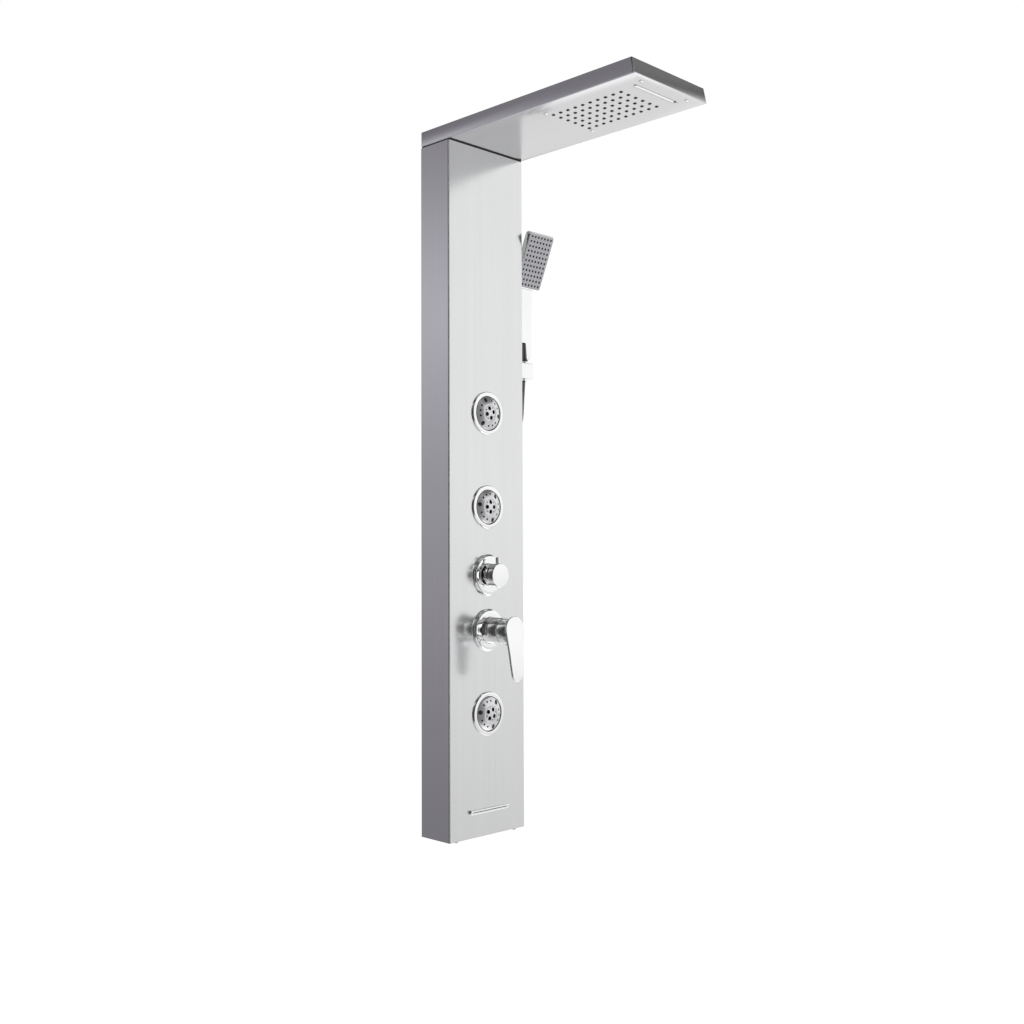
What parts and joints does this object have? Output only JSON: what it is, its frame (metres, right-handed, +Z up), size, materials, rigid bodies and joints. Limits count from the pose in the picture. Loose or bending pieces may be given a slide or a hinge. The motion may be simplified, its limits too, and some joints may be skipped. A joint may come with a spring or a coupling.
{
  "type": "shower column",
  "caption": "Wall-hung brushed steel shower column with an overhead rain and waterfall head, swivelling body jets, diverter, single-lever mixer, tub spout and hand shower.",
  "frame": {"origin": "centre of the upper wall bracket's rear face, on the wall plane", "axes": "+X to the right seen from the front, -Y out of the wall towards the user, +Z up"},
  "size_m": [0.2767, 0.486, 1.3026],
  "materials": {
    "column_steel": "vertical brushed stainless sheet",
    "head_steel": "fine brushed stainless sheet",
    "chrome": "polished chrome plating",
    "hose_metal": "corrugated bright strip over a light inner tube",
    "jet_face": "satin plated",
    "black_silicone": "matt silicone",
    "dark_plastic": "moulded, matt",
    "white_plastic": "moulded, matt",
    "brass": "as cast and turned",
    "plated_steel": "zinc plated"
  },
  "bodies": {
    "column": {"column_cover": "column_steel", "bottom_cap": "column_steel", "head_casing": "head_steel", "head_top_cover": "head_steel", "bottom_screw_left": "plated_steel", "bottom_screw_right": "plated_steel", "wall_bracket_upper": "plated_steel", "wall_bracket_lower": "plated_steel", "hanger_bar_upper": "plated_steel", "hanger_bar_lower": "plated_steel", "head_screw_1": "plated_steel", "head_screw_2": "plated_steel", "head_screw_3": "plated_steel", "head_screw_4": "plated_steel", "jet_manifold_pipe": "plated_steel", "spout_feed_pipe": "plated_steel", "rain_feed_pipe": "plated_steel", "waterfall_feed_pipe": "plated_steel", "handset_outlet_pipe": "plated_steel", "rain_chamber": "white_plastic", "mixer_cartridge": "white_plastic", "rain_nozzle_mat": "black_silicone", "hose_grommet": "black_silicone", "waterfall_outlet": "chrome", "diverter_escutcheon": "chrome", "mixer_escutcheon": "chrome", "mixer_sleeve": "chrome", "spout_bezel": "chrome", "holder_block": "chrome", "jet_1_flange": "chrome", "jet_1_housing": "dark_plastic", "jet_2_flange": "chrome", "jet_2_housing": "dark_plastic", "jet_3_flange": "chrome", "jet_3_housing": "dark_plastic", "diverter_valve_body": "brass", "mixer_valve_body": "brass", "riser_pipe": "brass", "hose_union_nut": "brass", "spout_body": "dark_plastic", "hand_shower_hose": "hose_metal"},
    "jet_1_ball": {"jet_1_ball": "jet_face", "jet_1_centre": "jet_face"},
    "jet_1_spray": {"jet_1_face_ring": "jet_face"},
    "jet_2_ball": {"jet_2_ball": "jet_face", "jet_2_centre": "jet_face"},
    "jet_2_spray": {"jet_2_face_ring": "jet_face"},
    "jet_3_ball": {"jet_3_ball": "jet_face", "jet_3_centre": "jet_face"},
    "jet_3_spray": {"jet_3_face_ring": "jet_face"},
    "diverter_knob": {"diverter_knob": "chrome", "diverter_spindle": "chrome", "diverter_pin": "chrome"},
    "mixer_bonnet": {"mixer_bonnet": "chrome"},
    "mixer_lever": {"mixer_lever": "chrome", "mixer_grub_screw": "plated_steel"},
    "hose_nut": {"hose_cone_nut": "chrome"},
    "hand_shower": {"handset_body": "chrome", "handset_nozzle_mat": "black_silicone", "handset_face_plate": "jet_face"}
  },
  "joints": [
    {"name": "jet_1_tilt", "type": "hinge", "parent": "column", "child": "jet_1_ball", "pos_m": [0, -0.063, -0.375], "axis": [1, 0, 0], "range_deg": [-15, 15]},
    {"name": "jet_1_spray_turn", "type": "hinge", "parent": "jet_1_ball", "child": "jet_1_spray", "pos_m": [0, -0.072, -0.375], "axis": [0, -1, 0], "continuous": true},
    {"name": "jet_2_tilt", "type": "hinge", "parent": "column", "child": "jet_2_ball", "pos_m": [0, -0.063, -0.549], "axis": [1, 0, 0], "range_deg": [-15, 15]},
    {"name": "jet_2_spray_turn", "type": "hinge", "parent": "jet_2_ball", "child": "jet_2_spray", "pos_m": [0, -0.072, -0.549], "axis": [0, -1, 0], "continuous": true},
    {"name": "jet_3_tilt", "type": "hinge", "parent": "column", "child": "jet_3_ball", "pos_m": [0, -0.063, -0.929], "axis": [1, 0, 0], "range_deg": [-15, 15]},
    {"name": "jet_3_spray_turn", "type": "hinge", "parent": "jet_3_ball", "child": "jet_3_spray", "pos_m": [0, -0.072, -0.929], "axis": [0, -1, 0], "continuous": true},
    {"name": "diverter_turn", "type": "hinge", "parent": "column", "child": "diverter_knob", "pos_m": [0, -0.09, -0.675], "axis": [0, -1, 0], "continuous": true},
    {"name": "mixer_temperature", "type": "hinge", "parent": "column", "child": "mixer_bonnet", "pos_m": [0, -0.106, -0.776], "axis": [0, -1, 0], "range_deg": [-45, 45]},
    {"name": "mixer_flow", "type": "hinge", "parent": "mixer_bonnet", "child": "mixer_lever", "pos_m": [0, -0.106, -0.776], "axis": [-1, 0, 0], "range_deg": [0, 25]},
    {"name": "handset_lift", "type": "slide", "parent": "column", "child": "hose_nut", "axis": [0, 0, 1], "range_m": [0, 0.06]},
    {"name": "handset_swivel", "type": "hinge", "parent": "hose_nut", "child": "hand_shower", "pos_m": [0.1417, -0.033, -0.259], "axis": [0, 0, 1], "range_deg": [0, 60]}
  ]
}
